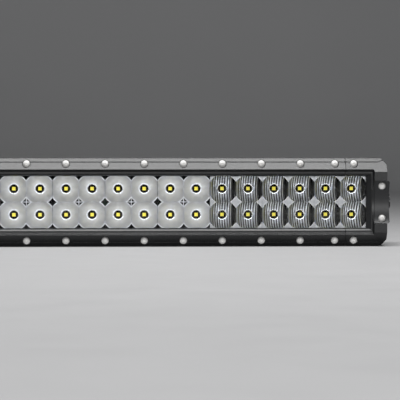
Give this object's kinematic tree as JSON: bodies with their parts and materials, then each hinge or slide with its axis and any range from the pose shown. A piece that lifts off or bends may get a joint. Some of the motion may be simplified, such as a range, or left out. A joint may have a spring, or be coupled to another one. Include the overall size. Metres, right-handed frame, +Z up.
{
  "type": "led light bar",
  "caption": "Straight two-row LED light bar with a screwed sloped bezel, clear lens, smooth and fluted reflectors, a finned housing and threaded toothed side mounts.",
  "frame": {"origin": "centre of the bar's length and depth, on the surface that it stands on", "axes": "+X along the bar, -Y the way the light shines, +Z up"},
  "size_m": [0.56, 0.077, 0.086],
  "materials": {
    "housing_coat": "black powder coat, fine texture, on extruded aluminium",
    "bezel_coat": "satin black powder coat on aluminium",
    "cap_coat": "textured black powder coat on die-cast aluminium",
    "block_coat": "satin black powder coat on die-cast aluminium",
    "lens": "clear polycarbonate, polished",
    "silicone": "matt black silicone",
    "spot_metallised": "bright metallised plastic",
    "flood_metallised": "bright metallised plastic with vertical flutes",
    "led_board": "black solder mask on an aluminium board",
    "thermal_pad": "grey gap pad",
    "led_package": "white ceramic",
    "led_phosphor": "yellow phosphor under clear silicone",
    "driver_board": "green solder mask",
    "capacitor": "bare can with a black base",
    "inductor": "dark ferrite",
    "chip": "black moulding compound",
    "terminal": "green polyamide",
    "lead_insulation": "red and black PVC",
    "stainless": "bright stainless steel",
    "gland_plastic": "black polyamide"
  },
  "bodies": {
    "root": {"housing": "housing_coat", "top_bezel": "bezel_coat", "bottom_bezel": "bezel_coat", "left_end_cap": "cap_coat", "right_end_cap": "cap_coat", "left_mount_block": "block_coat", "right_mount_block": "block_coat", "lens": "lens", "lens_gasket": "silicone", "left_end_gasket": "silicone", "right_end_gasket": "silicone", "spot_reflector_1": "spot_metallised", "spot_reflector_2": "spot_metallised", "spot_reflector_3": "spot_metallised", "spot_reflector_4": "spot_metallised", "flood_reflector_1": "flood_metallised", "flood_reflector_2": "flood_metallised", "flood_reflector_3": "flood_metallised", "flood_reflector_4": "flood_metallised", "flood_reflector_5": "flood_metallised", "flood_reflector_6": "flood_metallised", "led_board_left": "led_board", "led_board_right": "led_board", "thermal_pad": "thermal_pad", "led_packages": "led_package", "led_phosphors": "led_phosphor", "driver_board": "driver_board", "driver_capacitors": "capacitor", "driver_inductors": "inductor", "driver_chips": "chip", "input_terminal": "terminal", "led_leads": "lead_insulation", "bezel_screws": "stainless", "mount_block_screws": "stainless", "end_cap_screws": "stainless", "led_board_screws": "stainless", "gland_body": "gland_plastic", "gland_seal": "silicone", "gland_nut": "gland_plastic", "breather_vent": "gland_plastic"}
  },
  "joints": []
}
